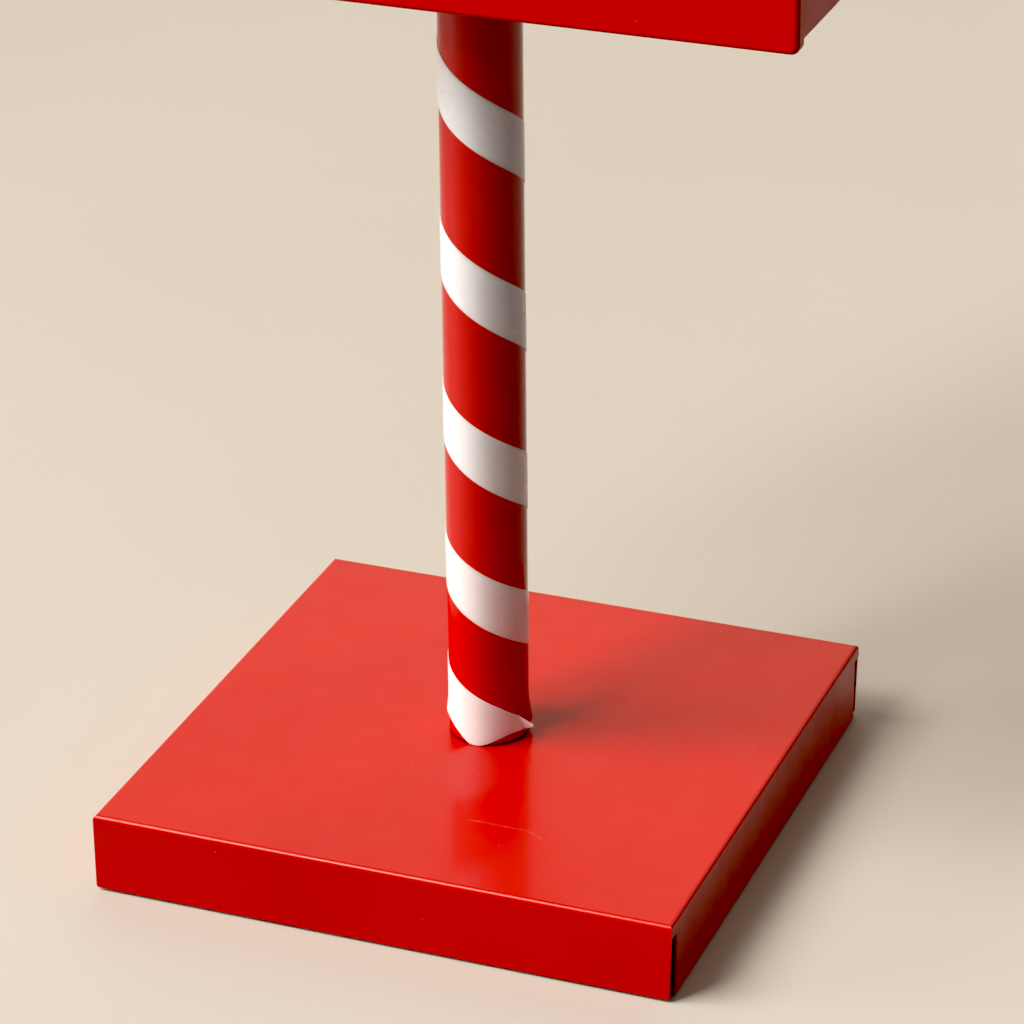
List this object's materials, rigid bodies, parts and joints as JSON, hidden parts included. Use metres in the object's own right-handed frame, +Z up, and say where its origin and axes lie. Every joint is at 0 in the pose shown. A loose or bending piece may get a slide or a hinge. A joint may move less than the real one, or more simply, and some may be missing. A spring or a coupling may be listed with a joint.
{
  "type": "street fire alarm box",
  "caption": "Red steel fire alarm box with break glass, pull handle, clockwork and bell, under a gable hood on a striped post with a square weighted foot.",
  "frame": {"origin": "on the floor under the middle of the post", "axes": "+Z up the post, -Y out of the door, +X to the right of somebody who faces the door"},
  "size_m": [0.392, 0.3, 0.9063],
  "materials": {
    "red_enamel": "satin powder coat",
    "red_film": "gloss adhesive film",
    "white_vinyl": "gloss adhesive tape",
    "zinc_steel": "zinc plated",
    "rubber": "matt moulded",
    "nickel": "satin nickel plate",
    "brass": "grained and lacquered",
    "bell_metal": "turned",
    "spring_steel": "blued and polished",
    "contact_silver": "silver plated",
    "window_glass": "clear float",
    "white_enamel": "gloss vitreous enamel",
    "black_plastic": "moulded phenolic",
    "hammer_red": "gloss paint"
  },
  "bodies": {
    "box": {"base_cover": "red_enamel", "ballast_plate": "zinc_steel", "rubber_feet": "rubber", "post_tube": "zinc_steel", "red_wrap": "red_film", "white_tape": "white_vinyl", "post_plugs": "zinc_steel", "post_bolts": "zinc_steel", "bolt_washers": "zinc_steel", "box_body": "red_enamel", "head_stiffener": "zinc_steel", "mounting_plate": "zinc_steel", "plate_standoffs": "zinc_steel", "plate_screws": "zinc_steel", "cable_gland": "black_plastic", "gland_locknut": "nickel", "door_seal": "rubber", "hood_shell": "red_enamel", "hood_soffit": "zinc_steel", "hood_brackets": "zinc_steel", "hood_screws": "zinc_steel", "hinge_box_leaves": "zinc_steel", "hinge_pins": "zinc_steel", "guide_plate": "brass", "guide_pillars": "zinc_steel", "return_spring": "spring_steel", "movement_front_plate": "brass", "movement_back_plate": "brass", "movement_pillars": "zinc_steel", "contact_block": "black_plastic", "gong": "bell_metal", "gong_pillars": "zinc_steel", "hammer_clips": "nickel", "terminal_block": "black_plastic", "terminal_screws": "zinc_steel"},
    "door": {"door_panel": "red_enamel", "window_ring": "nickel", "window_glass": "window_glass", "window_seal": "rubber", "window_keeper": "zinc_steel", "window_screws": "nickel", "sign_plate": "white_enamel", "sign_rivets": "zinc_steel", "lock_barrel": "nickel", "lock_nut": "zinc_steel", "cover_stud": "zinc_steel", "hinge_door_leaves": "zinc_steel"},
    "lock": {"lock_plug": "nickel", "lock_cam": "zinc_steel"},
    "keyhole_flap": {"keyhole_cover": "nickel"},
    "pull": {"pull_handle": "white_enamel", "slider_rod": "spring_steel"},
    "trip": {"trip_lever": "spring_steel"},
    "barrel": {"spring_barrel": "brass"},
    "second": {"second_wheel": "brass", "code_wheel": "brass"},
    "fan": {"governor_fan": "brass"},
    "contact": {"contact_finger": "contact_silver"},
    "striker": {"gong_striker": "spring_steel"},
    "hammer": {"glass_hammer": "hammer_red"}
  },
  "joints": [
    {"name": "door_hinge", "type": "hinge", "parent": "box", "child": "door", "pos_m": [-0.1805, -0.053, 0.6425], "axis": [0, 0, -1], "range_deg": [0, 110]},
    {"name": "lock_turn", "type": "hinge", "parent": "door", "child": "lock", "pos_m": [0.147, -0.065, 0.64], "axis": [0, 1, 0], "range_deg": [-90, 0]},
    {"name": "flap_swing", "type": "hinge", "parent": "door", "child": "keyhole_flap", "pos_m": [0.147, -0.069, 0.657], "axis": [0, 1, 0], "range_deg": [-110, 110]},
    {"name": "handle_pull", "type": "slide", "parent": "box", "child": "pull", "axis": [0, 0, -1], "range_m": [0, 0.018], "stiffness_N_per_m": 600, "springref_m": -0.006, "deforming": ["return_spring"]},
    {"name": "trip_pivot", "type": "hinge", "parent": "box", "child": "trip", "pos_m": [-0.04, -0.0195, 0.655], "axis": [0, 1, 0], "range_deg": [0, 28.5]},
    {"name": "barrel_spin", "type": "hinge", "parent": "box", "child": "barrel", "pos_m": [-0.055, 0, 0.59], "axis": [0, 1, 0], "continuous": true},
    {"name": "second_spin", "type": "hinge", "parent": "box", "child": "second", "pos_m": [-0.01976, 0, 0.60283], "axis": [0, 1, 0], "continuous": true},
    {"name": "fan_spin", "type": "hinge", "parent": "box", "child": "fan", "pos_m": [0.00199, 0, 0.59268], "axis": [0, 1, 0], "continuous": true},
    {"name": "contact_lift", "type": "hinge", "parent": "box", "child": "contact", "pos_m": [0.034, -0.0155, 0.633], "axis": [0, 1, 0], "range_deg": [0, 3], "stiffness_Nm_per_rad": 0.02, "springref_deg": -11.46},
    {"name": "striker_swing", "type": "hinge", "parent": "box", "child": "striker", "pos_m": [0.0428, -0.0225, 0.535], "axis": [0, 1, 0], "range_deg": [-10, 3], "stiffness_Nm_per_rad": 0.1},
    {"name": "hammer_unclip", "type": "slide", "parent": "box", "child": "hammer", "axis": [1, 0, 0], "range_m": [0, 0.04]}
  ],
  "couplings": [
    {"joint": "trip_pivot", "follows": "handle_pull", "rad_per_m": 27.053},
    {"joint": "second_spin", "follows": "barrel_spin", "ratio": -4},
    {"joint": "fan_spin", "follows": "barrel_spin", "ratio": 16}
  ]
}
